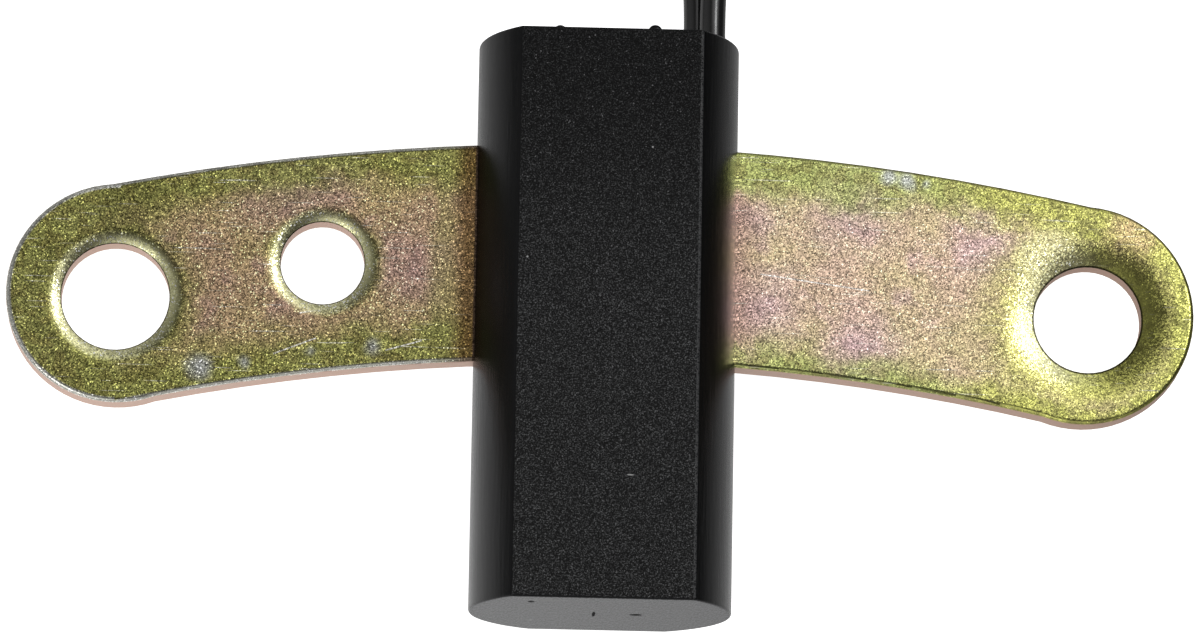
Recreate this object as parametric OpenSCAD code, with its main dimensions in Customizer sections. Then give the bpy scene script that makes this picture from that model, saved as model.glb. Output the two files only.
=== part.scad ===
// Crankshaft position sensor: a moulded pick-up on an arc-shaped steel bracket, with two leads.
// It lies on the back of its housing: X runs along the bracket, Y from the sensing end to the lead end,
// and Z from the back of the housing to its front. All sizes are in millimetres.

/* [Housing] */
// Length of the moulded block, from the sensing end to the lead end
housing_length = 48; // [46:0.5:60]
// Width of the block at its widest plane
housing_width = 21.8; // [21.2:0.1:25]
// Width of the flat front face
front_flat_width = 15; // [13:0.1:18]
// Width of the flat back face
back_flat_width = 11.5; // [10.5:0.1:17]
// Depth of the block from its widest plane to the front face
front_depth = 8.1; // [7.6:0.1:11]
// Depth of the block from its widest plane to the back face
back_depth = 8.4; // [7.6:0.1:11]
// Radius of the two round pips on the lead end
pip_radius = 0.6; // [0.4:0.1:1]
// Distance of the pips behind the front face
pip_setback = 1.4; // [1:0.1:3]
// Sideways place of the left pip
left_pip_x = -4.3; // [-6:0.1:-3]
// Sideways place of the right pip
right_pip_x = 3.6; // [2:0.1:5]
// Height of the left pip, which filled less than the right one
left_pip_height = 0.4; // [0.3:0.1:0.6]

/* [Bracket] */
// Distance between the centres of the two round ends
bracket_span = 80.4; // [70:0.1:100]
// Thickness of the steel strip
bracket_thickness = 2.5; // [2:0.1:3]
// Radius of the centre line of the strip
bracket_radius = 185.5; // [160:0.5:220]
// Width of the strip
bracket_width = 18.4; // [16:0.1:20]
// Height of the strip's centre line above the middle of the block
bracket_height = 6.4; // [5:0.1:7]
// Sideways place of the centre of the arc
bracket_shift = -0.35; // [-1:0.05:1]
// Distance of the left bolt hole beyond the centre of its round end
left_hole_offset = 0.25; // [0:0.05:1.5]
// Distance of the right bolt hole beyond the centre of its round end
right_hole_offset = 0.5; // [0:0.05:1.5]
// Distance of the bolt holes below the centre line of the strip
bolt_hole_drop = 0.25; // [0:0.05:1]
// Sideways distance of the small locating hole from the middle of the arc
locating_hole_reach = 23.25; // [20:0.05:26]
// Diameter of the two bolt holes
bolt_hole_d = 9; // [6:0.1:11]
// Diameter of the locating hole
locating_hole_d = 7; // [4:0.1:9]
// Radius of the round ends, a little more than half the width of the strip
end_radius = 9.3; // [8.6:0.05:10.6]
// Radius that the punch leaves along the front edges of the strip
edge_roll = 0.4; // [0.2:0.05:0.7]
// Width of the rolled rim of the left bolt hole and the locating hole
rim_width = 1.3; // [0.8:0.1:2]
// Depth of that rim at the hole
rim_depth = 0.35; // [0.2:0.05:0.6]
// Width of the broad dish round the right bolt hole
dish_width = 3; // [2:0.1:3.4]
// Depth of that dish at the hole
dish_depth = 0.5; // [0.2:0.05:0.8]

/* [Pick-up] */
// Plastic left over the tip of the pole piece
end_skin = 0.8; // [0.5:0.1:2]
// Length of pole piece that stands out of the front of the bobbin
pole_reach = 1; // [0.5:0.1:2]
// Diameter of the pole piece
pole_d = 4; // [3:0.1:5]
// Diameter of the head of the pole piece
pole_head_d = 7.4; // [6:0.1:8]
// Thickness of the head of the pole piece
pole_head_thickness = 1.5; // [1:0.1:2.5]
// Diameter of the magnet
magnet_d = 7; // [5:0.1:8]
// Thickness of the magnet
magnet_thickness = 3.4; // [2:0.1:4.5]
// Plastic between the magnet and the lower edge of the bracket
magnet_gap = 0.6; // [0.4:0.1:1]
// Wall of the bobbin's barrel
barrel_wall = 0.8; // [0.5:0.1:1.2]
// Diameter of the bobbin's flanges
flange_d = 12.6; // [12.4:0.1:13.6]
// Thickness of the bobbin's front flange
front_flange = 1; // [0.6:0.1:1.5]
// Thickness of the bobbin's rear flange, which holds the terminals
rear_flange = 2.5; // [2:0.1:3.5]
// Depth of the winding below the rim of the flanges
winding_depth = 0.5; // [0.2:0.1:1.5]

/* [Terminals] */
// Thickness of the terminal strip
terminal_thickness = 0.5; // [0.3:0.05:0.7]
// Width of the terminal strip
terminal_width = 1.3; // [1:0.05:1.5]
// Plastic between the terminals and the bracket or solder behind them
terminal_gap = 0.4; // [0.3:0.05:0.6]
// Depth of the flat where a conductor is pressed against its tab
tab_press = 0.1; // [0.05:0.05:0.2]
// Plastic between the terminals and the head or the magnet beside them
post_gap = 0.15; // [0.15:0.05:0.4]
// Depth of the terminals in the rear flange
post_depth = 1.5; // [1:0.1:1.8]
// Height above the lower edge of the bracket where the strips turn towards their posts
turn_height = 2.2; // [1:0.1:3]
// Length of the slanted run of the signal terminal, along Y
signal_run = 5; // [4:0.1:6]
// Length of the slanted run of the return terminal, along Y
return_run = 9; // [8:0.1:10]
// Plastic between the upper edge of the bracket and the ends of the conductors
joint_gap = 0.8; // [0.4:0.1:1.2]
// Thickness of solder round a conductor
solder_thickness = 0.4; // [0.2:0.05:0.45]
// Length of a solder joint
solder_length = 2.4; // [1.5:0.1:2.6]

/* [Leads] */
// Outside diameter of a lead
lead_d = 2.2; // [1.8:0.05:2.2]
// Diameter of the bare conductor
conductor_d = 1.2; // [0.8:0.05:1.3]
// Thickness of the tie round the coiled leads
tie_thickness = 0.8; // [0.6:0.1:1]
// Width of the tie
tie_width = 3; // [2:0.1:5]
// Side of the tie's head
tie_head = 4; // [3:0.1:5]

/* [Connector] */
// Length of the connector
connector_length = 22; // [20:0.5:30]
// Length of its thick rear part
connector_rear = 9; // [8.5:0.5:12]
// Width of its rear part
connector_width = 13.6; // [12.5:0.1:16]
// Height of its rear part
connector_height = 9.6; // [9:0.1:12]
// Step from the rear part down to the nose, on every side
nose_step = 0.8; // [0.4:0.1:1.2]
// Radius along its edges
connector_round = 1.2; // [0.8:0.1:1.6]
// Distance between the two contacts
contact_pitch = 5; // [4.8:0.1:5.4]
// Side of the square contact
contact_side = 2.6; // [2.3:0.1:3]
// Thickness of the contact's sheet
contact_sheet = 0.3; // [0.2:0.05:0.5]
// Length of the contact's crimp
crimp_length = 4; // [3:0.1:5]
// Wall in front of the contacts
front_wall = 1.2; // [0.8:0.1:2]
// Outside diameter of a wire seal
seal_d = 4.2; // [3.6:0.1:4.6]
// Length of a wire seal
seal_length = 4; // [3:0.1:4]
// Depth of the grooves between the ribs of a wire seal
seal_groove = 0.4; // [0.2:0.05:0.6]
// Width of the latch arm
latch_width = 5; // [4:0.1:7]
// Thickness of the latch arm
latch_thickness = 1; // [0.8:0.1:1.4]
// Height of the slot under the latch arm
latch_slot = 1.2; // [0.8:0.1:1.6]
// Length of the latch's root at the tip of the nose
latch_root = 2.5; // [2:0.1:4]
// Height of the hook on the latch arm
latch_hook = 1; // [0.6:0.1:1.4]

/* [Hidden] */
$fn = 96;
over = 1;

// Routes of the leads: from inside the housing down to the coil, and from the coil to the connector
signal_route = [[8.6, 20, 9.4], [8.6, 24, 9.4], [8.6, 27, 9.4], [8.7, 30, 9], [8.8, 33, 7.7],
                [8.9, 36, 5.6], [9, 39, 3.5], [9.1, 42, 2.2], [9.1, 43.9, 2]];
return_route = [[7.35, 20, 7.5], [7.35, 24, 7.5], [7.35, 27, 7.5], [7.25, 30, 7.1], [7.05, 33, 5.95],
                [6.9, 36, 4.2], [6.85, 39, 2.6], [6.9, 41.2, 2]];
signal_tail_route = [[-12.7, 65.6, 6.4], [-15.5, 65.7, 6.2], [-18, 65.9, 5.8], [-20.5, 66.3, 5.3],
                     [-23, 66.7, 4.9], [-26, 67, 4.8], [-28, 67, 4.8], [-32, 67, 4.8]];
return_tail_route = [[-15.4, 63.4, 6.4], [-17.5, 63.3, 6.1], [-20, 63, 5.6], [-22.5, 62.5, 5.1],
                     [-25, 62.1, 4.8], [-28, 62, 4.8], [-32, 62, 4.8]];
lead_sides = 8;
coil_center = [-4.5, 52];
coil_radius = 12.5;
coil_layers = 3;
turn_slack = 0.05;
turn_pitch = lead_d + turn_slack;
tie_angle = 45;

// Planes that the pieces share
mid_z = back_depth;
housing_top = housing_length / 2;
bracket_front_z = mid_z + bracket_thickness / 2;
band_inner = bracket_radius - bracket_width / 2;
band_outer = bracket_radius + bracket_width / 2;
arc_center = [bracket_shift, bracket_height - bracket_radius];
end_angle = asin(bracket_span / 2 / bracket_radius);
left_hole_angle = end_angle + arc_angle(left_hole_offset);
right_hole_angle = end_angle + arc_angle(right_hole_offset);
locating_hole_angle = asin(locating_hole_reach / bracket_radius);

// Stations of the pick-up along Y, from the sensing end to the bracket
pole_tip_y = end_skin - housing_top;
magnet_back_y = band_lower_y(magnet_d / 2 + abs(bracket_shift)) - magnet_gap;
head_back_y = magnet_back_y - magnet_thickness;
bobbin_back_y = head_back_y - pole_head_thickness;
bobbin_front_y = pole_tip_y + pole_reach;
barrel_r = pole_d / 2 + barrel_wall;
winding_r = flange_d / 2 - winding_depth;

// Terminal stations
post_x = max(pole_head_d, magnet_d) / 2 + post_gap + terminal_width / 2;
post_y = bobbin_back_y - post_depth;
joint_y = band_upper_y(0) + joint_gap;
turn_y = band_lower_y(0) + turn_height;
signal_at = signal_route[0];
return_at = return_route[0];
solder_r = conductor_d / 2 + solder_thickness;
terminal_z = max(bracket_front_z, signal_at[2] + solder_r) + terminal_gap;
strip_offset = conductor_d / 2 - tab_press + terminal_thickness - terminal_width / 2;
signal_strip_x = signal_at[0] + strip_offset;
return_strip_x = return_at[0] - strip_offset;

// Coil of the leads: two lanes wide
coil_half = turn_pitch + turn_slack;
coil_top = tie_thickness + coil_layers * turn_pitch;

// Connector: it points along -X from the end of the tails
tail_end = len(signal_tail_route) - 1;
connector_x = signal_tail_route[tail_end][0] + seal_length;
connector_y = (signal_tail_route[tail_end][1] + return_tail_route[len(return_tail_route) - 1][1]) / 2;
contact_z = signal_tail_route[tail_end][2];
nose_width = connector_width - 2 * nose_step;
nose_height = connector_height - 2 * nose_step;
contact_end = connector_length - front_wall;

function arc_angle(length) = length / bracket_radius * 180 / PI;
function band_lower_y(x) = arc_center[1] + sqrt(pow(band_inner, 2) - pow(x, 2));
function band_upper_y(x) = arc_center[1] + sqrt(pow(band_outer, 2) - pow(x, 2));
function side_radius(inset, depth) = (inset * inset + depth * depth) / (2 * inset);
function unit(v) = v / norm(v);
function heading(route, i) = unit(route[min(i + 1, len(route) - 1)] - route[max(i - 1, 0)]);
function ring(center, dir) =
    let (side = unit(cross(dir, [0, 0, 1])), up = cross(side, dir))
    [for (k = [0:lead_sides - 1])
        let (a = 360 * k / lead_sides)
        center + lead_d / 2 * (cos(a) * side + sin(a) * up)];

// A length of lead, swept along its route
module lead_tube(route) {
    last = len(route) - 1;
    points = [for (i = [0:last]) each ring(route[i], heading(route, i))];
    walls = [for (i = [0:last - 1], k = [0:lead_sides - 1])
        let (a = i * lead_sides + k, b = i * lead_sides + (k + 1) % lead_sides)
        each [[a, b, b + lead_sides], [a, b + lead_sides, a + lead_sides]]];
    start = [[for (k = [1:lead_sides]) lead_sides - k]];
    end = [[for (k = [0:lead_sides - 1]) last * lead_sides + k]];
    polyhedron(points, concat(start, walls, end));
}

// A bar along Y, standing on the plane y = from
module y_cylinder(from, to, r) {
    translate([0, from, 0])
        rotate([-90, 0, 0])
            cylinder(h = to - from, r = r);
}

// The part of the block's section on one side of the widest plane
module section_half(flat_width, depth) {
    half = housing_width / 2;
    r = side_radius((housing_width - flat_width) / 2, depth);
    translate([-flat_width / 2, 0])
        square([flat_width, depth]);
    for (side = [0, 1])
        mirror([side, 0])
            intersection() {
                translate([half - r, 0])
                    circle(r = r);
                square([half, depth]);
            }
}

// One half of the block, split at the widest plane and moulded round the strip
module block_half(flat_width, depth, back) {
    difference() {
        translate([0, 0, mid_z])
            rotate([90, 0, 0])
                linear_extrude(height = housing_length, center = true)
                    mirror([0, back])
                        section_half(flat_width, depth);
        bracket_band();
    }
}

// A round pip on the lead end, sunk until it stands out by its height
module pip(x, height) {
    translate([x, housing_top + height - pip_radius, mid_z + front_depth - pip_setback])
        sphere(r = pip_radius);
}

// Half of the strip's section, with its front edge rolled over
module strip_section(half_width) {
    square([half_width, bracket_thickness - edge_roll]);
    square([half_width - edge_roll, bracket_thickness]);
    translate([half_width - edge_roll, bracket_thickness - edge_roll])
        circle(r = edge_roll);
}

// A point of the strip at an angle left of the middle of the arc, on or below its centre line
module on_arc(angle, drop = 0) {
    rotate([0, 0, angle])
        translate([0, bracket_radius - drop, 0])
            children();
}

// A punched hole whose front rim is rolled over, along an arc that leaves the front face smoothly
module punched_hole(d, width, depth) {
    r = side_radius(depth, width);
    translate([0, 0, -over])
        cylinder(h = bracket_thickness + 2 * over, d = d);
    rotate_extrude()
        translate([d / 2, bracket_thickness])
            difference() {
                translate([-over, -depth])
                    square([width + over, depth + over]);
                translate([width, -r])
                    circle(r = r);
            }
}

// Places its children at the centre of the arc, on the back of the strip
module at_arc_center() {
    translate([arc_center[0], arc_center[1], mid_z - bracket_thickness / 2])
        children();
}

module bracket_band() {
    at_arc_center()
        rotate([0, 0, 90 - end_angle])
            rotate_extrude(angle = 2 * end_angle, $fn = 360)
                translate([bracket_radius, 0]) {
                    strip_section(bracket_width / 2);
                    mirror([1, 0])
                        strip_section(bracket_width / 2);
                }
}

module bracket_strip() {
    difference() {
        union() {
            bracket_band();
            at_arc_center()
                for (angle = [end_angle, -end_angle])
                    on_arc(angle)
                        rotate_extrude()
                            strip_section(end_radius);
        }
        at_arc_center() {
            on_arc(left_hole_angle, bolt_hole_drop)
                punched_hole(bolt_hole_d, rim_width, rim_depth);
            on_arc(-right_hole_angle, bolt_hole_drop)
                punched_hole(bolt_hole_d, dish_width, dish_depth);
            on_arc(locating_hole_angle)
                punched_hole(locating_hole_d, rim_width, rim_depth);
        }
    }
}

module pole_pin() {
    translate([0, 0, mid_z]) {
        y_cylinder(pole_tip_y, bobbin_back_y + pole_head_thickness / 2, pole_d / 2);
        y_cylinder(bobbin_back_y, head_back_y, pole_head_d / 2);
    }
}

module magnet_disc() {
    translate([0, 0, mid_z])
        y_cylinder(head_back_y, magnet_back_y, magnet_d / 2);
}

module bobbin_spool() {
    translate([0, 0, mid_z])
        difference() {
            union() {
                y_cylinder(bobbin_front_y, bobbin_back_y, barrel_r);
                y_cylinder(bobbin_front_y, bobbin_front_y + front_flange, flange_d / 2);
                y_cylinder(bobbin_back_y - rear_flange, bobbin_back_y, flange_d / 2);
            }
            y_cylinder(bobbin_front_y - over, bobbin_back_y + over, pole_d / 2);
        }
}

module winding_pack() {
    front = bobbin_front_y + front_flange;
    back = bobbin_back_y - rear_flange;
    translate([0, 0, mid_z])
        difference() {
            y_cylinder(front, back, winding_r);
            y_cylinder(front - over, back + over, barrel_r);
        }
}

// A stamped strip from the bobbin to a lead, with a tab folded back beside the conductor
module terminal_strip(lead_at, strip_x, foot_x, bend_y) {
    out = sign(strip_x - lead_at[0]);
    w = terminal_width / 2;
    tab_z = lead_at[2] - conductor_d / 2;
    tab_x = lead_at[0] + out * ((conductor_d + terminal_thickness) / 2 - tab_press);
    translate([0, 0, terminal_z])
        linear_extrude(height = terminal_thickness)
            polygon([[strip_x - w, lead_at[1]], [strip_x - w, bend_y], [foot_x - w, turn_y],
                     [foot_x - w, post_y], [foot_x + w, post_y], [foot_x + w, turn_y],
                     [strip_x + w, bend_y], [strip_x + w, lead_at[1]]]);
    translate([tab_x - terminal_thickness / 2, joint_y, tab_z])
        cube([terminal_thickness, lead_at[1] - joint_y, terminal_z + terminal_thickness - tab_z]);
}

module signal_strip() {
    terminal_strip(signal_at, signal_strip_x, post_x, turn_y + signal_run);
}

module return_strip() {
    terminal_strip(return_at, return_strip_x, -post_x, turn_y + return_run);
}

module bare_end(lead_at) {
    translate([lead_at[0], 0, lead_at[2]])
        y_cylinder(joint_y, lead_at[1], conductor_d / 2);
}

module solder_bead(lead_at) {
    translate([lead_at[0], 0, lead_at[2]])
        y_cylinder(joint_y, joint_y + solder_length, solder_r);
}

module lead_bore(lead_at) {
    translate([lead_at[0], 0, lead_at[2]])
        y_cylinder(lead_at[1], housing_top + over, lead_d / 2);
}

// Places its children in the connector's own frame: X from its rear face to its nose, Z from the floor
module at_connector() {
    translate([connector_x, connector_y, 0])
        rotate([0, 0, 180])
            children();
}

// A bar along X with rounded edges
module round_bar(from, to, width, height, z) {
    r = connector_round;
    translate([from, 0, z])
        rotate([90, 0, 90])
            linear_extrude(height = to - from) {
                square([width - 2 * r, height], center = true);
                square([width, height - 2 * r], center = true);
                for (x = [-1, 1], y = [-1, 1])
                    translate([x * (width / 2 - r), y * (height / 2 - r)])
                        circle(r = r);
            }
}

// The way through the connector for one lead: seal bore, contact cavity and the window in the nose
module contact_way(side) {
    slit = contact_side - 2 * contact_sheet;
    translate([0, side * contact_pitch / 2, contact_z]) {
        translate([-over, 0, 0])
            rotate([0, 90, 0])
                cylinder(h = seal_length + over, d = seal_d);
        translate([seal_length, -contact_side / 2, -contact_side / 2])
            cube([contact_end - seal_length, contact_side, contact_side]);
        translate([contact_end - over, -slit / 2, -slit / 2])
            cube([front_wall + 2 * over, slit, slit]);
    }
}

// The latch: an arm rooted at the tip of the nose, with a hook that catches the mating half
module latch_arm() {
    nose_top = (connector_height + nose_height) / 2;
    under = nose_top + latch_slot;
    top = under + latch_thickness;
    tail = connector_rear + latch_slot;
    root = connector_length - latch_root;
    hook = root - 2 * latch_hook;
    rotate([90, 0, 0])
        linear_extrude(height = latch_width, center = true)
            polygon([[tail, under], [root, under], [root, nose_top - connector_round],
                     [connector_length, nose_top - connector_round],
                     [connector_length, under], [connector_length - latch_thickness, top],
                     [hook, top], [hook - latch_hook, top + latch_hook],
                     [hook - 2 * latch_hook, top + latch_hook], [hook - 2 * latch_hook, top], [tail, top]]);
}

module wire_seal(side) {
    rib = seal_length / 5;
    at_connector()
        translate([0, side * contact_pitch / 2, contact_z])
            rotate([0, 90, 0])
                difference() {
                    union() {
                        cylinder(h = seal_length, d = seal_d - 2 * seal_groove);
                        for (k = [0, 2, 4])
                            translate([0, 0, k * rib])
                                cylinder(h = rib, d = seal_d);
                    }
                    translate([0, 0, -over])
                        cylinder(h = seal_length + 2 * over, d = lead_d);
                }
}

module contact_piece(side) {
    box = seal_length + crimp_length;
    slit = contact_side - 2 * contact_sheet;
    at_connector()
        translate([0, side * contact_pitch / 2, contact_z]) {
            translate([seal_length, 0, 0])
                rotate([0, 90, 0])
                    cylinder(h = crimp_length, d = lead_d);
            difference() {
                translate([box, -contact_side / 2, -contact_side / 2])
                    cube([contact_end - box, contact_side, contact_side]);
                translate([box + contact_sheet, -slit / 2, -slit / 2])
                    cube([contact_end - box, slit, slit]);
            }
        }
}

module housing() {
    color([0.11, 0.11, 0.12])
        difference() {
            union() {
                block_half(front_flat_width, front_depth, 0);
                block_half(back_flat_width, back_depth, 1);
                pip(left_pip_x, left_pip_height);
                pip(right_pip_x, pip_radius);
            }
            pole_pin();
            magnet_disc();
            bobbin_spool();
            winding_pack();
            signal_strip();
            return_strip();
            bare_end(signal_at);
            bare_end(return_at);
            solder_bead(signal_at);
            solder_bead(return_at);
            lead_bore(signal_at);
            lead_bore(return_at);
        }
}

module mounting_bracket() {
    color([0.62, 0.52, 0.28])
        bracket_strip();
}

module pole_piece() {
    color([0.55, 0.55, 0.56])
        pole_pin();
}

module magnet() {
    color([0.25, 0.25, 0.27])
        magnet_disc();
}

module bobbin() {
    color([0.85, 0.83, 0.75])
        difference() {
            bobbin_spool();
            signal_strip();
            return_strip();
        }
}

module coil_winding() {
    color([0.72, 0.4, 0.2])
        winding_pack();
}

module signal_terminal() {
    color([0.8, 0.68, 0.35])
        signal_strip();
}

module return_terminal() {
    color([0.8, 0.68, 0.35])
        return_strip();
}

module signal_conductor() {
    color([0.78, 0.45, 0.25])
        difference() {
            bare_end(signal_at);
            signal_strip();
        }
}

module return_conductor() {
    color([0.78, 0.45, 0.25])
        difference() {
            bare_end(return_at);
            return_strip();
        }
}

module signal_solder_joint() {
    color([0.7, 0.7, 0.72])
        difference() {
            solder_bead(signal_at);
            bare_end(signal_at);
            signal_strip();
        }
}

module return_solder_joint() {
    color([0.7, 0.7, 0.72])
        difference() {
            solder_bead(return_at);
            bare_end(return_at);
            return_strip();
        }
}

module signal_lead() {
    color([0.06, 0.06, 0.06])
        lead_tube(signal_route);
}

module return_lead() {
    color([0.06, 0.06, 0.06])
        lead_tube(return_route);
}

module lead_coil() {
    color([0.06, 0.06, 0.06])
        translate([coil_center[0], coil_center[1], tie_thickness])
            rotate_extrude()
                translate([coil_radius - coil_half, 0])
                    square([2 * coil_half, coil_top - tie_thickness]);
}

module coil_tie() {
    inner = coil_radius - coil_half;
    outer = coil_radius + coil_half;
    sweep = tie_width / coil_radius * 180 / PI;
    color([0.12, 0.12, 0.12])
        translate([coil_center[0], coil_center[1], 0])
            rotate([0, 0, tie_angle]) {
                rotate([0, 0, -sweep / 2])
                    rotate_extrude(angle = sweep)
                        difference() {
                            translate([inner - tie_thickness, 0])
                                square([outer - inner + 2 * tie_thickness, coil_top + tie_thickness]);
                            translate([inner, tie_thickness])
                                square([outer - inner, coil_top - tie_thickness]);
                        }
                translate([outer + tie_thickness / 2, -tie_head / 2, coil_top / 2 - tie_head / 2])
                    cube(tie_head);
            }
}

module signal_lead_tail() {
    color([0.06, 0.06, 0.06])
        lead_tube(signal_tail_route);
}

module return_lead_tail() {
    color([0.06, 0.06, 0.06])
        lead_tube(return_tail_route);
}

module connector_body() {
    color([0.15, 0.15, 0.16])
        at_connector()
            difference() {
                union() {
                    round_bar(0, connector_rear, connector_width, connector_height, connector_height / 2);
                    round_bar(connector_rear, connector_length, nose_width, nose_height, connector_height / 2);
                    latch_arm();
                }
                contact_way(-1);
                contact_way(1);
            }
}

module signal_seal() {
    color([0.5, 0.2, 0.15])
        wire_seal(-1);
}

module return_seal() {
    color([0.5, 0.2, 0.15])
        wire_seal(1);
}

module signal_contact() {
    color([0.8, 0.8, 0.78])
        contact_piece(-1);
}

module return_contact() {
    color([0.8, 0.8, 0.78])
        contact_piece(1);
}

housing();
mounting_bracket();
pole_piece();
magnet();
bobbin();
coil_winding();
signal_terminal();
return_terminal();
signal_conductor();
return_conductor();
signal_solder_joint();
return_solder_joint();
signal_lead();
return_lead();
lead_coil();
coil_tie();
signal_lead_tail();
return_lead_tail();
connector_body();
signal_seal();
return_seal();
signal_contact();
return_contact();
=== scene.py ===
import math

import bpy
from mathutils import Matrix, Vector


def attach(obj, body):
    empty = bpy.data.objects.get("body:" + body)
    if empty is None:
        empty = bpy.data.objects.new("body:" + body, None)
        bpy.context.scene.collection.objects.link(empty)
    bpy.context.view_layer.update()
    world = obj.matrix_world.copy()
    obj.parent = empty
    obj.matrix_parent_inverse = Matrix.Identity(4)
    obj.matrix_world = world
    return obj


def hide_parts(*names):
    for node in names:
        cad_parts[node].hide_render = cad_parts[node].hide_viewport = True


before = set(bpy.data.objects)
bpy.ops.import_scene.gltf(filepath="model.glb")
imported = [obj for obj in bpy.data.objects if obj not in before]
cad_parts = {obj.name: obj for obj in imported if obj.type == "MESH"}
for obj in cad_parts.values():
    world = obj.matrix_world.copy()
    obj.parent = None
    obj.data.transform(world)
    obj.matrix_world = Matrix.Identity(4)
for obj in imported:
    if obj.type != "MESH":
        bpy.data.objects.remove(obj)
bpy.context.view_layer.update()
bpy.ops.object.select_all(action="DESELECT")

# Camera
# It stands over the front of the block, tipped towards the sensing end and turned a little. It is far off
# and has a long lens, so that bracket and block are hardly foreshortened.
camera_roll, camera_tilt, camera_swing = -0.989, -11.530, 1.744
camera_turn = (
    Matrix.Rotation(math.radians(camera_roll), 3, "Z")
    @ Matrix.Rotation(math.radians(camera_tilt), 3, "X")
    @ Matrix.Rotation(math.radians(camera_swing), 3, "Y")
).transposed()
camera_aim = Vector((-0.00042, 0.00063, 0.00965))
camera_distance = 0.6705
bpy.ops.object.camera_add(
    location=camera_aim + camera_turn @ Vector((0, 0, camera_distance)),
    rotation=camera_turn.to_euler(),
)
camera = bpy.context.object
camera.name = "front_camera"
camera.data.lens = 241.78
camera.data.sensor_width = 36
camera.data.clip_start = 0.01
camera.data.clip_end = 20
bpy.context.scene.camera = camera


# Leads
# Two single wires in glossy black plastic, cast side by side into the lead end of the block. They run
# straight out, drop to the bench and are wound into a small two-lane coil that ends in the connector.
def new_finish(name, color, roughness, metallic=0.0):
    """A material with its shader's own sockets set, and the coordinates for its patterns."""
    finish = bpy.data.materials.new(name)
    finish.use_nodes = True
    tree = finish.node_tree
    shader = tree.nodes["Principled BSDF"]
    shader.inputs["Base Color"].default_value = (*color, 1)
    shader.inputs["Roughness"].default_value = roughness
    shader.inputs["Metallic"].default_value = metallic
    where = tree.nodes.new("ShaderNodeTexCoord").outputs["Object"]
    return finish, tree, shader, where


def put(tree, kind, settings=None, **sockets):
    """Adds a node, sets its properties, and links or sets its sockets by name, or by number as i0, i1."""
    node = tree.nodes.new("ShaderNode" + kind)
    for key, value in (settings or {}).items():
        setattr(node, key, value)
    for key, value in sockets.items():
        socket = node.inputs[int(key[1:]) if key[1:].isdigit() else key.replace("_", " ")]
        if isinstance(value, bpy.types.NodeSocket):
            tree.links.new(value, socket)
        else:
            socket.default_value = value
    return node


def wire(tree, shader, **patterns):
    """Links patterns to the sockets of a shader, by name."""
    for key, pattern in patterns.items():
        tree.links.new(pattern, shader.inputs[key.replace("_", " ")])


def maths(tree, operation, *values):
    """The result of one sum on numbers or sockets."""
    sockets = {"i%d" % k: value for k, value in enumerate(values)}
    return put(tree, "Math", {"operation": operation}, **sockets).outputs[0]


def soft_step(tree, value, start, end):
    """0 before start, 1 after end, and an easy slope between them."""
    step = put(tree, "MapRange", {"interpolation_type": "SMOOTHSTEP"}, Value=value)
    step.inputs["From Min"].default_value = start
    step.inputs["From Max"].default_value = end
    return step.outputs[0]


def drawn_out(tree, where, scale, turn=0.0):
    """Coordinates on which a pattern is drawn out along the axes of small scale."""
    return put(tree, "Mapping", Vector=where, Rotation=(0, 0, turn), Scale=scale).outputs[0]


def noise(tree, where, scale, detail=2.0, roughness=0.5):
    """The value of a noise whose grains are about 1/scale metres across."""
    node = put(tree, "TexNoise", Vector=where, Scale=scale, Detail=detail, Roughness=roughness)
    return node.outputs[0]


def tint(tree, amount, under, over, how="MIX"):
    """Lays one colour over another, by an amount from 0 to 1."""
    node = put(tree, "Mix", {"data_type": "RGBA", "blend_type": how}, i0=amount)
    for socket, value in ((node.inputs[6], under), (node.inputs[7], over)):
        if isinstance(value, bpy.types.NodeSocket):
            tree.links.new(value, socket)
        else:
            socket.default_value = (*value, 1)
    return node.outputs[2]


def bumped(tree, height, distance, strength=1.0):
    """The normal of a surface raised by a height from 0 to 1 times a distance in metres."""
    return put(tree, "Bump", Height=height, Distance=distance, Strength=strength).outputs[0]


lead_diameter = 0.0022
signal_out = [
    (8.6, 20, 9.4), (8.6, 24, 9.4), (8.6, 27, 9.4), (8.7, 30, 9), (8.8, 33, 7.7), (8.9, 36, 5.6),
    (9, 39, 3.5), (9.1, 42, 2.2), (9.1, 43.9, 2),
]
return_out = [
    (7.35, 20, 7.5), (7.35, 24, 7.5), (7.35, 27, 7.5), (7.25, 30, 7.1), (7.05, 33, 5.95),
    (6.9, 36, 4.2), (6.85, 39, 2.6), (6.9, 41.2, 2),
]
signal_tail = [
    (-12.7, 65.6, 6.4), (-15.5, 65.7, 6.2), (-18, 65.9, 5.8), (-20.5, 66.3, 5.3), (-23, 66.7, 4.9),
    (-26, 67, 4.8), (-28, 67, 4.8), (-32, 67, 4.8),
]
return_tail = [
    (-15.4, 63.4, 6.4), (-17.5, 63.3, 6.1), (-20, 63, 5.6), (-22.5, 62.5, 5.1), (-25, 62.1, 4.8),
    (-28, 62, 4.8), (-32, 62, 4.8),
]
coil_middle = Vector((-4.5, 52, 0))
signal_lane, return_lane = 13.625, 11.375
first_layer, layer_step = 1.925, 2.25
wound_degrees, knot_step = 810, 15
climb_starts, climb_degrees = (255, 615), 60


def wound_turns(lane):
    """The turns on one lane, each climbing onto the last before it meets its own start."""
    points = []
    for degrees in range(0, wound_degrees + 1, knot_step):
        height = first_layer
        for climb in climb_starts:
            share = min(max((degrees - climb) / climb_degrees, 0), 1)
            height += layer_step * share * share * (3 - 2 * share)
        angle = math.radians(degrees)
        points.append(coil_middle + Vector((lane * math.cos(angle), lane * math.sin(angle), height)))
    return points


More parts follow.
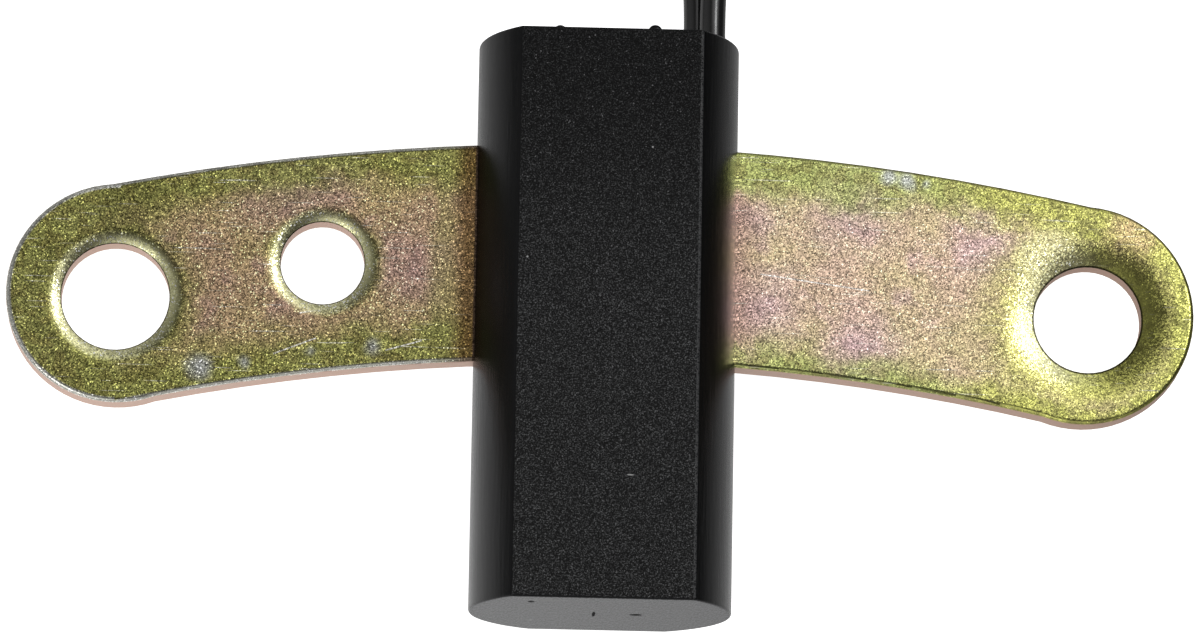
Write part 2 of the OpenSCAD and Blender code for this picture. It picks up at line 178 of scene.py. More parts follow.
def lead_along(name, points):
    """A round lead on one smooth line through points given in millimetres."""
    line = bpy.data.curves.new(name, "CURVE")
    line.dimensions = "3D"
    line.bevel_depth = 1
    line.bevel_resolution = 6
    line.resolution_u = 6
    line.use_fill_caps = True
    spline = line.splines.new("BEZIER")
    spline.bezier_points.add(len(points) - 1)
    for knot, point in zip(spline.bezier_points, points):
        knot.co = Vector(point) / 1000
        knot.radius = lead_diameter / 2
        knot.handle_left_type = knot.handle_right_type = "AUTO"
    lead = bpy.data.objects.new(name, line)
    bpy.context.collection.objects.link(lead)
    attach(lead, "root")
    return lead


signal_cord = lead_along("signal_lead_cord", signal_out + wound_turns(signal_lane) + signal_tail)
return_cord = lead_along("return_lead_cord", return_out + wound_turns(return_lane) + return_tail)
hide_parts("signal_lead", "signal_lead_tail", "lead_coil")
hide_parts("return_lead", "return_lead_tail", "lead_coil")

lead_black, lead_dust = (0.006, 0.006, 0.0065), (0.02, 0.02, 0.02)
lead_finish, tree, shader, where = new_finish("lead_insulation", lead_black, 0.22)
shader.inputs["Coat Weight"].default_value = 0.3
shader.inputs["Coat Roughness"].default_value = 0.12
rub = noise(tree, drawn_out(tree, where, (1, 0.06, 1)), 3500, 3)
dust = soft_step(tree, noise(tree, where, 2600, 2), 0.66, 0.78)
wire(
    tree, shader,
    Base_Color=tint(tree, dust, lead_black, lead_dust),
    Roughness=maths(tree, "MULTIPLY_ADD", rub, 0.16, 0.14),
    Normal=bumped(tree, rub, 0.000012),
)
for cord in (signal_cord, return_cord):
    cord.data.materials.append(lead_finish)


# Housing
# A block of black glass-filled plastic, moulded round the bracket and the pick-up in one shot. Its front
# face has the grain of a spark-eroded mould, the round sides are smoother, and all edges are just broken.
def pick(mesh_object, wanted):
    """In edit mode, selects only the vertices for which wanted(position) holds."""
    bpy.ops.object.mode_set(mode="OBJECT")
    for part in (mesh_object.data.polygons, mesh_object.data.edges, mesh_object.data.vertices):
        for element in part:
            element.select = False
    for vertex in mesh_object.data.vertices:
        vertex.select = wanted(vertex.co)
    bpy.ops.object.mode_set(mode="EDIT")
    bpy.ops.mesh.select_mode(type="VERT")


def choose(piece, others=()):
    """Selects pieces, and makes the first of them the active one."""
    bpy.ops.object.select_all(action="DESELECT")
    for chosen in (piece, *others):
        chosen.select_set(True)
    bpy.context.view_layer.objects.active = piece


def apply_all(piece):
    """Applies every modifier of a piece, in order."""
    bpy.context.view_layer.objects.active = piece
    for modifier in list(piece.modifiers):
        bpy.ops.object.modifier_apply(modifier=modifier.name)


def break_edges(piece, width, degrees=40, segments=2):
    """Rounds every edge sharper than an angle, and keeps the flats flat."""
    bpy.ops.object.mode_set(mode="OBJECT")
    choose(piece)
    rounding = piece.modifiers.new("rounding", "BEVEL")
    rounding.width = width
    rounding.segments = segments
    rounding.limit_method = "ANGLE"
    rounding.angle_limit = math.radians(degrees)
    bpy.ops.object.shade_smooth()
    piece.modifiers.new("flat_faces", "WEIGHTED_NORMAL").weight = 100
    apply_all(piece)


def join_into(piece, others):
    """Makes several meshes one piece."""
    choose(piece, others)
    bpy.ops.object.join()


def settle(piece, name):
    """Names a finished piece and puts its place into its mesh."""
    piece.name = piece.data.name = name
    choose(piece)
    bpy.ops.object.transform_apply(location=True, rotation=True, scale=True)


block_length, half_width, widest_z = 0.048, 0.0109, 0.0084
half_front, front_depth = 0.0075, 0.0081
half_back, back_depth = 0.00575, 0.0084
merge_distance = 1e-6
bpy.ops.mesh.primitive_plane_add(size=block_length, location=(half_width, 0, widest_z))
block = bpy.context.object
bpy.ops.object.transform_apply(location=True)
bpy.ops.object.mode_set(mode="EDIT")
bpy.ops.transform.resize(value=(0, 1, 1), center_override=(half_width, 0, widest_z))
bpy.ops.mesh.remove_doubles(threshold=merge_distance)
for half_flat, depth, way in ((half_front, front_depth, 1), (half_back, back_depth, -1)):
    pick(block, lambda p: abs(p.z - widest_z) < merge_distance)
    inset = half_width - half_flat
    side_radius = (inset ** 2 + depth ** 2) / (2 * inset)
    bpy.ops.mesh.spin(
        steps=24, angle=way * math.asin(depth / side_radius),
        center=(half_width - side_radius, 0, widest_z), axis=(0, 1, 0),
    )
    bpy.ops.mesh.extrude_edges_move(TRANSFORM_OT_translate={"value": (-half_flat, 0, 0)})
bpy.ops.object.mode_set(mode="OBJECT")
block.modifiers.new("other_half", "MIRROR").merge_threshold = merge_distance
apply_all(block)
bpy.ops.object.mode_set(mode="EDIT")
bpy.ops.mesh.select_all(action="SELECT")
bpy.ops.mesh.remove_doubles(threshold=merge_distance)
bpy.ops.mesh.fill_holes(sides=0)
bpy.ops.mesh.select_all(action="SELECT")
bpy.ops.mesh.normals_make_consistent(inside=False)
break_edges(block, 0.00022, degrees=30, segments=3)

pip_radius, pip_z = 0.0006, 0.0151
pips = []
for pip_x, stands_out in ((-0.0043, 0.0004), (0.0036, 0.0006)):
    bpy.ops.mesh.primitive_uv_sphere_add(
        segments=24, ring_count=16, radius=pip_radius,
        location=(pip_x, block_length / 2 + stands_out - pip_radius, pip_z),
    )
    bpy.ops.object.shade_smooth()
    pips.append(bpy.context.object)
join_into(block, pips)
settle(block, "housing_block")
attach(block, "root")
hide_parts("housing")

housing_finish, tree, shader, where = new_finish("housing_plastic", (0.014, 0.0145, 0.0155), 0.5)
shader.inputs["Specular IOR Level"].default_value = 0.17
place = put(tree, "SeparateXYZ", Vector=where)
facing = put(tree, "SeparateXYZ", Vector=put(tree, "NewGeometry").outputs["Normal"])
front = soft_step(tree, facing.outputs["Z"], 0.93, 0.99)
ends = soft_step(tree, maths(tree, "ABSOLUTE", facing.outputs["Y"]), 0.8, 0.98)
sensing_end = soft_step(tree, facing.outputs["Y"], -0.8, -0.98)
grain = noise(tree, where, 9000, 2, 0.6)
fine = noise(tree, where, 8000, 2)

# the smooth sides, drawn along the block by the mould
side_dark, side_light = (0.0012, 0.0013, 0.0015), (0.005, 0.0052, 0.0057)
streaks = noise(tree, drawn_out(tree, where, (1, 0.05, 1)), 5000, 3)
tone = tint(tree, streaks, side_dark, side_light)

# the pitted front, duller towards the lead end and painted darker there as shade, with painted glints on a
# few of the pits
pit_dark, pit_light = (0.0008, 0.0008, 0.0009), (0.132, 0.135, 0.1375)
top_shade_dark, pit_glint_light = (0.001, 0.001, 0.0012), (0.15, 0.15, 0.154)
pits = put(tree, "TexVoronoi", Vector=where, Scale=11500.0)
pit_tone = put(tree, "SeparateColor", Color=pits.outputs["Color"])
# painted glints: a few pits get a pale grey that stands in for the light they catch
painted_pit_glints = maths(tree, "MULTIPLY", soft_step(tree, pit_tone.outputs[1], 0.992, 0.998), front)
rough_tone = maths(tree, "POWER", pit_tone.outputs[0], 2.0)
rough_tone = maths(tree, "MULTIPLY", rough_tone, soft_step(tree, fine, 0.4, 0.62))
speckle = tint(tree, rough_tone, pit_dark, pit_light)
# painted shade: the front is darkened towards the lead end, where less light falls on it
dull_and_shaded_top = soft_step(tree, place.outputs["Y"], 0.0, 0.022)
speckle = tint(tree, maths(tree, "MULTIPLY", dull_and_shaded_top, 0.55), speckle, top_shade_dark)
tone = tint(tree, front, tone, speckle)


def ragged_mark(upright, spot, size):
    """1 in a small ragged oval on a flat face of the block, 0 round it."""
    across = maths(tree, "SUBTRACT", place.outputs["X"], spot[0])
    across = maths(tree, "DIVIDE", across, size[0])
    upward = maths(tree, "SUBTRACT", place.outputs[upright], spot[1])
    upward = maths(tree, "DIVIDE", upward, size[1])
    reach = maths(tree, "MULTIPLY_ADD", across, across, maths(tree, "MULTIPLY", upward, upward))
    reach = maths(tree, "MULTIPLY_ADD", fine, 1.2, reach)
    return maths(tree, "SUBTRACT", 1.0, soft_step(tree, reach, 0.9, 1.9))


# small nicks on the front, and a painted highlight along its right edge
nick_light, edge_highlight_grey = (0.4, 0.4, 0.4), (0.07, 0.071, 0.073)
front_nicks = (
    ((0.0021, -0.0137), (0.0003, 0.00006)),
    ((0.0035, 0.0139), (0.00009, 0.00009)),
    ((-0.0067, 0.0044), (0.00009, 0.00009)),
)
for spot, size in front_nicks:
    nick = maths(tree, "MULTIPLY", ragged_mark("Y", spot, size), front)
    tone = tint(tree, nick, tone, nick_light)
# painted highlight: a pale line on the rounded right front edge, where the light from the right catches it
right_edge_highlight = soft_step(tree, facing.outputs["X"], 0.1, 0.3)
right_edge_highlight = maths(tree, "MULTIPLY", soft_step(tree, facing.outputs["Z"], 0.73, 0.8), right_edge_highlight)
right_edge_highlight = maths(tree, "MULTIPLY", right_edge_highlight, soft_step(tree, fine, 0.3, 0.6))
tone = tint(tree, right_edge_highlight, tone, edge_highlight_grey)

# the ends, painted a lighter grey than the sides as a painted sheen, with scuffs: the sensing end has a
# pit, a scratch and a few specks, each with its own grey
end_dark, end_light_and_sheen = (0.008, 0.0084, 0.0096), (0.07, 0.072, 0.076)
end_marks = (
    ((-0.0005, 0.0084), (0.00016, 0.0014), 0.0),
    ((0.003, 0.0085), (0.0006, 0.0005), 0.01),
    ((-0.0058, 0.014), (0.0003, 0.0005), 0.02),
    ((-0.0043, 0.0148), (0.0013, 0.0007), 0.3),
    ((-0.0057, 0.0047), (0.00018, 0.0006), 0.4),
)
scuffs = noise(tree, drawn_out(tree, where, (1, 1, 0.2)), 6500, 2, 0.6)
# painted sheen: both ends are lighter than the sides, partly standing in for the light the end faces catch;
# the scuff pattern is real
end_scuffs_and_sheen = tint(tree, soft_step(tree, scuffs, 0.32, 0.68), end_dark, end_light_and_sheen)
pitted = None
for spot, size, shade in end_marks:
    mark = maths(tree, "MULTIPLY", ragged_mark("Z", spot, size), sensing_end)
    end_scuffs_and_sheen = tint(tree, mark, end_scuffs_and_sheen, (shade, shade, shade))
    pitted = mark if pitted is None else maths(tree, "MAXIMUM", pitted, mark)
tone = tint(tree, ends, tone, end_scuffs_and_sheen)
tone = tint(tree, painted_pit_glints, tone, pit_glint_light)

coarse_height = put(tree, "Mix", i0=ends, i2=grain, i3=scuffs).outputs[0]
coarse = bumped(tree, coarse_height, 0.0001, 0.9)
smooth = bumped(tree, maths(tree, "ADD", fine, streaks), 0.00002)
flats = maths(tree, "MAXIMUM", front, ends)
relief = put(tree, "Mix", {"data_type": "VECTOR"}, i0=flats, i4=smooth, i5=coarse)
satin = maths(tree, "MULTIPLY_ADD", streaks, 0.08, 0.2)
satin = maths(tree, "MULTIPLY_ADD", front, 0.32, maths(tree, "MULTIPLY_ADD", ends, 0.12, satin))
satin = maths(tree, "MULTIPLY_ADD", maths(tree, "MULTIPLY", front, dull_and_shaded_top), 0.2, satin)
satin = maths(tree, "MAXIMUM", satin, pitted)
wire(tree, shader, Base_Color=tone, Roughness=satin, Normal=relief.outputs[1])
block.data.materials.append(housing_finish)


# Mounting bracket
# A strip of 2.5 mm steel, punched to an arc with two bolt holes and a locating hole, then zinc plated and
# passivated. The film shimmers from tan and pink in the middle to olive and yellow-green along the edges.
def distance_to(spot):
    """How far a point of the strip is from a spot, seen from the front."""
    x = maths(tree, "SUBTRACT", place.outputs["X"], spot[0])
    y = maths(tree, "SUBTRACT", place.outputs["Y"], spot[1])
    squares = maths(tree, "ADD", maths(tree, "MULTIPLY", x, x), maths(tree, "MULTIPLY", y, y))
    return maths(tree, "SQRT", squares)


def inside(value, start, end):
    """1 before start, 0 after end."""
    return maths(tree, "SUBTRACT", 1.0, soft_step(tree, value, start, end))


def ragged(value, pattern, reach):
    """A distance whose outline a pattern shifts by up to a reach."""
    return maths(tree, "MULTIPLY_ADD", pattern, reach, value)


def lay(under, mask, share, over):
    """Lays a colour over the film, by a share of a mask."""
    return tint(tree, maths(tree, "MULTIPLY", mask, share), under, over)


def dress(node, finish):
    """Gives a solid of the frame its finish."""
    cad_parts[node].data.materials.clear()
    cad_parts[node].data.materials.append(finish)


arc_middle, arc_radius = (-0.00035, -0.1791), 0.1855
left_end, right_end, end_x = (-0.04055, 0.00199), (0.03985, 0.00199), 0.0402
left_hole, small_hole, right_hole = (-0.04074, 0.00169), (-0.0236, 0.00494), (0.04028, 0.00164)
bolt_hole_radius, small_hole_radius = 0.0045, 0.0035
zinc_finish, tree, shader, where = new_finish("passivated_zinc", (0.7, 0.58, 0.36), 0.42, 1.0)
place = put(tree, "SeparateXYZ", Vector=where)
normal = put(tree, "NewGeometry").outputs["Normal"]
upright = maths(tree, "ABSOLUTE", put(tree, "SeparateXYZ", Vector=normal).outputs["Z"])
walls = inside(upright, 0.15, 0.55)
clouds = noise(tree, where, 110, 4, 0.6)
blotches = noise(tree, where, 260, 3, 0.55)
mottle = noise(tree, where, 900, 3, 0.6)
along = maths(tree, "SUBTRACT", place.outputs["X"], arc_middle[0])
off_arc = maths(tree, "SUBTRACT", distance_to(arc_middle), arc_radius)
from_end = maths(tree, "MINIMUM", distance_to(left_end), distance_to(right_end))
past_end = maths(tree, "GREATER_THAN", maths(tree, "ABSOLUTE", along), end_x)
round_end = maths(tree, "MULTIPLY", past_end, from_end)
from_spine = maths(tree, "MAXIMUM", maths(tree, "ABSOLUTE", off_arc), round_end)
on_left = inside(ragged(along, clouds, 0.006), -0.006, 0.006)

# where the film is olive, because it is thickest: along the edges, round the holes and at the left tip
outer_half = soft_step(tree, off_arc, -0.003, 0.003)
edge_reach = ragged(from_spine, maths(tree, "MAXIMUM", outer_half, on_left), 0.0014)
near_edge = soft_step(tree, ragged(edge_reach, blotches, 0.005), 0.008, 0.0115)
halo_start = 0.0015
near_hole = None
for spot, radius, reach in (
    (left_hole, bolt_hole_radius, 0.004),
    (small_hole, small_hole_radius, 0.002),
    (right_hole, bolt_hole_radius, 0.0075),
):
    halo_inner = radius + halo_start
    halo = inside(ragged(distance_to(spot), blotches, 0.003), halo_inner, halo_inner + reach)
    near_hole = halo if near_hole is None else maths(tree, "MAXIMUM", near_hole, halo)
left_tip = inside(ragged(along, clouds, 0.008), -0.0385, -0.0325)
right_tip = soft_step(tree, ragged(along, clouds, -0.008), 0.022, 0.03)
olive_share = maths(tree, "MAXIMUM", maths(tree, "MAXIMUM", near_edge, near_hole), left_tip)

# the film: pale tan, flushed with pink, then the olive, and all of it painted darker on the left as shade
pale_tan, warm_tan = (0.65, 0.53, 0.3), (0.66, 0.48, 0.35)
blotch_pink, flush_pink = (0.58, 0.38, 0.4), (0.62, 0.41, 0.46)
left_olive, right_olive, olive_stain = (0.41, 0.475, 0.145), (0.58, 0.605, 0.14), (0.2, 0.21, 0.05)
tip_orange, painted_pink_shade = (0.72, 0.48, 0.3), (0.42, 0.25, 0.22)
left_painted_shade, left_shade = (0.62, 0.575, 0.5), (0.12, 0.11, 0.035)
film = tint(tree, soft_step(tree, clouds, 0.36, 0.64), pale_tan, warm_tan)
film = lay(film, soft_step(tree, blotches, 0.54, 0.7), 0.5, blotch_pink)
for spot, size in (
    ((0.0205, 0.0105), 0.005), ((0.0215, -0.0017), 0.005), ((0.0319, 0.0081), 0.0045),
    ((0.0125, 0.0095), 0.004), ((0.013, 0.002), 0.005),
    ((-0.016, 0.0045), 0.005), ((-0.026, 0.012), 0.006),
):
    flush = inside(ragged(distance_to(spot), blotches, 0.006), size * 0.5, size * 1.7)
    film = lay(film, flush, 0.75, flush_pink)
olive = tint(tree, right_tip, left_olive, right_olive)
olive = lay(olive, soft_step(tree, mottle, 0.46, 0.6), 0.7, olive_stain)
film = lay(film, olive_share, 0.85, olive)
tip_flush = inside(ragged(distance_to((0.0437, 0.0088)), blotches, 0.003), 0.0015, 0.005)
film = lay(film, tip_flush, 0.6, tip_orange)
# painted shade: a dull pink band on the plate just right of the block, where the block shades it
shade_right_of_block = inside(maths(tree, "ABSOLUTE", maths(tree, "SUBTRACT", along, 0.0108)), 0.0, 0.0037)
shade_right_of_block = maths(tree, "MULTIPLY", shade_right_of_block, inside(olive_share, 0.1, 0.9))
film = lay(film, shade_right_of_block, 0.7, painted_pink_shade)
# painted shade: the left wing's film is darkened, where less light reaches it
film = tint(tree, on_left, film, tint(tree, 1.0, film, left_painted_shade, "MULTIPLY"))
for spot, size in (((-0.0395, 0.0093), 0.004), ((-0.0455, 0.0045), 0.003)):
    shade = inside(ragged(distance_to(spot), blotches, 0.004), size * 0.5, size * 1.6)
    film = lay(film, shade, 0.6, left_shade)

# its wear: rubbed spots of bare zinc, painted darker on the left wing and lighter on the right as shaded
# and lit copies, a web of fine hairs and a few longer scratches
shaded_bare_zinc, lit_bare_zinc = (0.34, 0.35, 0.37), (0.6, 0.62, 0.64)
hair_light, scratch_light = (0.75, 0.73, 0.62), (0.85, 0.83, 0.78)
for spot, size in (
    ((-0.0336, -0.0041), 0.0016), ((-0.0299, -0.0037), 0.0011), ((-0.0243, -0.0026), 0.0011),
    ((-0.0192, -0.0021), 0.0014), ((0.0235, 0.0135), 0.0012), ((0.0251, 0.0132), 0.0013),
    ((0.0266, 0.0129), 0.001),
):
    worn = inside(ragged(distance_to(spot), blotches, 0.0022), size * 0.8, size * 1.7)
    film = lay(film, worn, 0.75, shaded_bare_zinc if spot[0] < 0 else lit_bare_zinc)
for turn, scale in ((0.5, 5200), (-0.7, 6100)):
    hairs = noise(tree, drawn_out(tree, where, (0.03, 1, 1), turn), scale, 1)
    film = lay(film, soft_step(tree, hairs, 0.71, 0.75), 0.5, hair_light)
for start, end in (
    ((0.0129, 0.0048), (0.022, 0.0036)),
    ((-0.0254, 0.0006), (-0.0228, 0.0011)),
    ((-0.0275, -0.0029), (-0.024, -0.0015)),
    ((-0.0182, -0.0024), (-0.0152, -0.0015)),
):
    half_length = math.dist(start, end) / 2
    slope = math.atan2(end[1] - start[1], end[0] - start[0])
    line = put(
        tree, "Mapping", {"vector_type": "TEXTURE"},
        Vector=where, Location=(*start, 0), Rotation=(0, 0, slope),
    )
    line = put(tree, "SeparateXYZ", Vector=line.outputs[0])
    scratch = inside(maths(tree, "ABSOLUTE", line.outputs["Y"]), 0.00003, 0.00008)
    reached = maths(tree, "COMPARE", line.outputs["X"], half_length, half_length)
    film = lay(film, maths(tree, "MULTIPLY", scratch, reached), 0.7, scratch_light)

# painted highlights on the rolled rims of the left holes, and painted light round the pressed dish of the
# right hole: a pale highlight on its left, a brighter one above, and painted shade on its right
rim_highlight, dish_highlight = (0.8, 0.78, 0.45), (0.74, 0.73, 0.52)
dish_bright_highlight, dish_shade = (1.0, 0.93, 0.5), (0.24, 0.235, 0.05)
for spot, radius in ((left_hole, bolt_hole_radius), (small_hole, small_hole_radius)):
    rolled = inside(maths(tree, "SUBTRACT", distance_to(spot), radius), 0.0004, 0.0012)
    film = lay(film, rolled, 0.8, rim_highlight)
# painted highlight: the side of the dish that faces the light is paler
from_bolt = maths(tree, "SUBTRACT", distance_to(right_hole), bolt_hole_radius)
dish_lit_side = inside(from_bolt, 0.0003, 0.0022)
dish_lit_side = maths(tree, "MULTIPLY", dish_lit_side, inside(along, 0.0365, 0.0425))
film = lay(film, dish_lit_side, 0.5, dish_highlight)
film = lay(film, inside(distance_to((0.0373, 0.006)), 0.0012, 0.0042), 0.85, dish_bright_highlight)
# painted shade: a dull olive arc on the right of the dish, which faces away from the light
dish_shaded_side = inside(ragged(distance_to(right_hole), blotches, 0.002), 0.0068, 0.0088)
dish_shaded_side = maths(tree, "MULTIPLY", dish_shaded_side, soft_step(tree, along, 0.0405, 0.044))
film = lay(film, dish_shaded_side, 0.5, dish_shade)

# the rubbed edge on the left, and painted shade in the corner along the block: a green band, a brown band
# and a dark line at the joint
edge_light, green_shade = (0.7, 0.7, 0.66), (0.22, 0.22, 0.07)
brown_shade, joint_shadow = (0.11, 0.06, 0.022), (0.045, 0.03, 0.02)
rubbed_edge = maths(tree, "MULTIPLY", soft_step(tree, from_spine, 0.0088, 0.009), on_left)
film = lay(film, rubbed_edge, 0.8, edge_light)
# painted shade: the plate next to the block is darkened where the block shades it and shows in it, with a
# painted shadow line at the joint
from_strip = maths(tree, "ADD", ragged(along, blotches, 0.003), 0.0115)
green_shade_strip = inside(maths(tree, "ABSOLUTE", from_strip), 0.0003, 0.0018)
film = lay(film, green_shade_strip, 0.45, green_shade)
shade_beside_block = maths(tree, "MULTIPLY", soft_step(tree, along, -0.0131, -0.0112), on_left)
film = lay(film, shade_beside_block, 0.85, brown_shade)
joint_shadow_line = maths(tree, "MULTIPLY", soft_step(tree, along, -0.0107, -0.0106), on_left)
film = tint(tree, joint_shadow_line, film, joint_shadow)

# zinc crystals, each with its own tone and its own small tilt and some with painted glints, then thin lines
# of painted shade at the hole edges, and the cut walls
crystals = put(tree, "TexVoronoi", Vector=where, Scale=11000.0)
crystal_tone = put(tree, "SeparateColor", Color=crystals.outputs["Color"])
sparkle = maths(tree, "MULTIPLY_ADD", crystal_tone.outputs[0], 0.66, 0.36)
sparkle = maths(tree, "MULTIPLY_ADD", mottle, 0.4, sparkle)
# painted glints: a few crystals are made brighter, and more so on the left wing
painted_crystal_glint = soft_step(tree, crystal_tone.outputs[1], 0.86, 1.0)
painted_crystal_glint = maths(tree, "MULTIPLY", painted_crystal_glint, maths(tree, "MULTIPLY_ADD", on_left, 1.6, 0.9))
sparkle = maths(tree, "ADD", sparkle, painted_crystal_glint)
sparkle = put(tree, "CombineColor", Red=sparkle, Green=sparkle, Blue=sparkle).outputs[0]
film = tint(tree, 1.0, film, sparkle, "MULTIPLY")
hole_edge_shade, wall_copper = (0.02, 0.018, 0.008), (0.69, 0.46, 0.36)
# painted shade: a thin near-black line where each hole's rolled edge turns away
for spot, radius, width in (
    (left_hole, bolt_hole_radius, 0.0001),
    (small_hole, small_hole_radius, 0.0001),
    (right_hole, bolt_hole_radius, 0.0002),
):
    hole_edge_line = inside(maths(tree, "SUBTRACT", distance_to(spot), radius), width / 2, width)
    film = lay(film, hole_edge_line, 0.9, hole_edge_shade)
film = tint(tree, walls, film, wall_copper)
grey = (0.5, 0.5, 0.5)
facet = put(tree, "VectorMath", {"operation": "SUBTRACT"}, i0=crystals.outputs["Color"], i1=grey)
facet = put(tree, "VectorMath", {"operation": "SCALE"}, i0=facet.outputs[0], Scale=0.18)
facet = put(tree, "VectorMath", {"operation": "ADD"}, i0=normal, i1=facet.outputs[0])
facet = put(tree, "VectorMath", {"operation": "NORMALIZE"}, i0=facet.outputs[0])
satin = maths(tree, "MULTIPLY_ADD", clouds, 0.12, 0.16)
wire(
    tree, shader,
    Base_Color=film,
    Metallic=maths(tree, "MULTIPLY_ADD", walls, -0.4, 1.0),
    Roughness=maths(tree, "MULTIPLY_ADD", walls, 0.25, satin),
    Normal=facet.outputs[0],
)
dress("mounting_bracket", zinc_finish)

# Pole piece and magnet
# A turned pin of soft iron with a flat head carries the field of a sintered ferrite disc to the sensing
# end. Both are cast into the block, behind the bobbin.
iron_finish, tree, shader, where = new_finish("soft_iron", (0.42, 0.42, 0.43), 0.35, 1.0)
turned = noise(tree, drawn_out(tree, where, (0.05, 1, 0.05)), 9000, 2)
wire(
    tree, shader,
    Base_Color=tint(tree, turned, (0.34, 0.34, 0.35), (0.5, 0.5, 0.51)),
    Normal=bumped(tree, turned, 0.00001),
)
dress("pole_piece", iron_finish)

ferrite_finish, tree, shader, where = new_finish("ferrite", (0.05, 0.05, 0.055), 0.7)
sinter = noise(tree, where, 6000, 4, 0.7)
wire(
    tree, shader,
    Base_Color=tint(tree, sinter, (0.03, 0.03, 0.033), (0.075, 0.075, 0.08)),
    Normal=bumped(tree, sinter, 0.00003),
)
dress("magnet", ferrite_finish)

# Bobbin and winding
# A spool of natural nylon, wound with some thousand turns of enamelled copper as fine as hair. The rear
# flange holds the two terminals.
nylon_finish, tree, shader, where = new_finish("bobbin_plastic", (0.75, 0.71, 0.6), 0.45)
flow = noise(tree, where, 700, 3)
wire(tree, shader, Base_Color=tint(tree, flow, (0.7, 0.65, 0.53), (0.8, 0.77, 0.66)))
dress("bobbin", nylon_finish)

winding_finish, tree, shader, where = new_finish("copper", (0.6, 0.27, 0.13), 0.3, 1.0)
turns = put(
    tree, "TexWave", {"wave_type": "BANDS", "bands_direction": "Y"},
    Vector=where, Scale=1500.0, Distortion=1.5, Detail=1.0,
).outputs["Fac"]
wire(
    tree, shader,
    Base_Color=tint(tree, turns, (0.34, 0.12, 0.05), (0.68, 0.32, 0.16)),
    Normal=bumped(tree, turns, 0.00003),
)
for node in ("coil_winding", "signal_conductor", "return_conductor"):
    dress(node, winding_finish)

# Terminals and solder joints
# Two strips stamped from brass run in front of the bracket, and each is folded back beside its conductor
# and soldered to it.
brass_finish, tree, shader, where = new_finish("brass_strip", (0.72, 0.55, 0.24), 0.32, 1.0)
rolled = noise(tree, drawn_out(tree, where, (1, 0.05, 1)), 6000, 3)
wire(
    tree, shader,
    Base_Color=tint(tree, rolled, (0.62, 0.46, 0.19), (0.8, 0.63, 0.3)),
    Roughness=maths(tree, "MULTIPLY_ADD", rolled, 0.2, 0.22),
)
for node in ("signal_terminal", "return_terminal"):
    dress(node, brass_finish)

solder_finish, tree, shader, where = new_finish("solder", (0.66, 0.66, 0.68), 0.25, 1.0)
frost = noise(tree, where, 3500, 3)
wire(
    tree, shader,
    Base_Color=tint(tree, frost, (0.56, 0.56, 0.58), (0.76, 0.76, 0.78)),
    Roughness=maths(tree, "MULTIPLY_ADD", frost, 0.3, 0.12),
)
for node in ("signal_solder_joint", "return_solder_joint"):
    dress(node, solder_finish)


# Coil tie
# A strap of black nylon, pulled tight round both lanes of the coiled leads through its square head, with
# the spare end cut off just above the head.
def pick_edges(mesh_object, wanted):
    """In edit mode, selects only the edges for which wanted(one end, other end) holds."""
    pick(mesh_object, lambda point: False)
    bpy.ops.mesh.select_mode(type="EDGE")
    bpy.ops.object.mode_set(mode="OBJECT")
    corners = mesh_object.data.vertices
    for edge in mesh_object.data.edges:
        edge.select = wanted(corners[edge.vertices[0]].co, corners[edge.vertices[1]].co)
    bpy.ops.object.mode_set(mode="EDIT")


def pick_faces(mesh_object, wanted):
    """In edit mode, selects only the faces for which wanted(normal) holds."""
    pick(mesh_object, lambda point: False)
    bpy.ops.mesh.select_mode(type="FACE")
    bpy.ops.object.mode_set(mode="OBJECT")
    for face in mesh_object.data.polygons:
        face.select = wanted(face.normal)
    bpy.ops.object.mode_set(mode="EDIT")


def add_bar(low, high):
    """A box between two corners, in metres, with its place in its mesh."""
    bpy.ops.object.select_all(action="DESELECT")
    middle = [(a + b) / 2 for a, b in zip(low, high)]
    sides = [b - a for a, b in zip(low, high)]
    bpy.ops.mesh.primitive_cube_add(size=1, location=middle, scale=sides)
    bpy.ops.object.transform_apply(location=True, rotation=True, scale=True)
    return bpy.context.object


tie_width, strap_thickness, strap_corner, tie_turn = 0.003, 0.0008, 0.00115, 45
strap = add_bar((0.0102, -tie_width / 2, 0.0008), (0.0148, tie_width / 2, 0.00755))
pick_edges(strap, lambda a, b: abs(a.y - b.y) > tie_width / 2)
bpy.ops.mesh.bevel(offset=strap_corner, segments=6, affect="EDGES")
pick_faces(strap, lambda normal: abs(normal.y) > 0.9)
bpy.ops.mesh.delete(type="ONLY_FACE")
bpy.ops.object.mode_set(mode="OBJECT")
wall = strap.modifiers.new("wall", "SOLIDIFY")
wall.thickness = strap_thickness
wall.offset = 1
break_edges(strap, 0.00012)
head = add_bar((0.0152, -0.002, 0.001775), (0.0192, 0.002, 0.005775))
mouth_rim, mouth_depth = 0.0007, 0.0005
pick_faces(head, lambda normal: normal.x > 0.9)
bpy.ops.mesh.inset(thickness=mouth_rim)
bpy.ops.mesh.extrude_region_move(TRANSFORM_OT_translate={"value": (-mouth_depth, 0, 0)})
break_edges(head, 0.00035)
spare_end = add_bar((0.0163, -0.0013, 0.0055), (0.0172, 0.0013, 0.0073))
break_edges(spare_end, 0.00015)
join_into(strap, (head, spare_end))
strap.location = coil_middle / 1000
strap.rotation_euler = (0, 0, math.radians(tie_turn))
settle(strap, "coil_strap")
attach(strap, "root")
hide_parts("coil_tie")

tie_finish, tree, shader, where = new_finish("tie_plastic", (0.012, 0.012, 0.012), 0.38)
matt = noise(tree, where, 2500, 3)
wire(
    tree, shader,
    Base_Color=tint(tree, matt, (0.008, 0.008, 0.008), (0.018, 0.018, 0.018)),
    Roughness=maths(tree, "MULTIPLY_ADD", matt, 0.25, 0.25),
    Normal=bumped(tree, matt, 0.00002),
)
strap.data.materials.append(tie_finish)

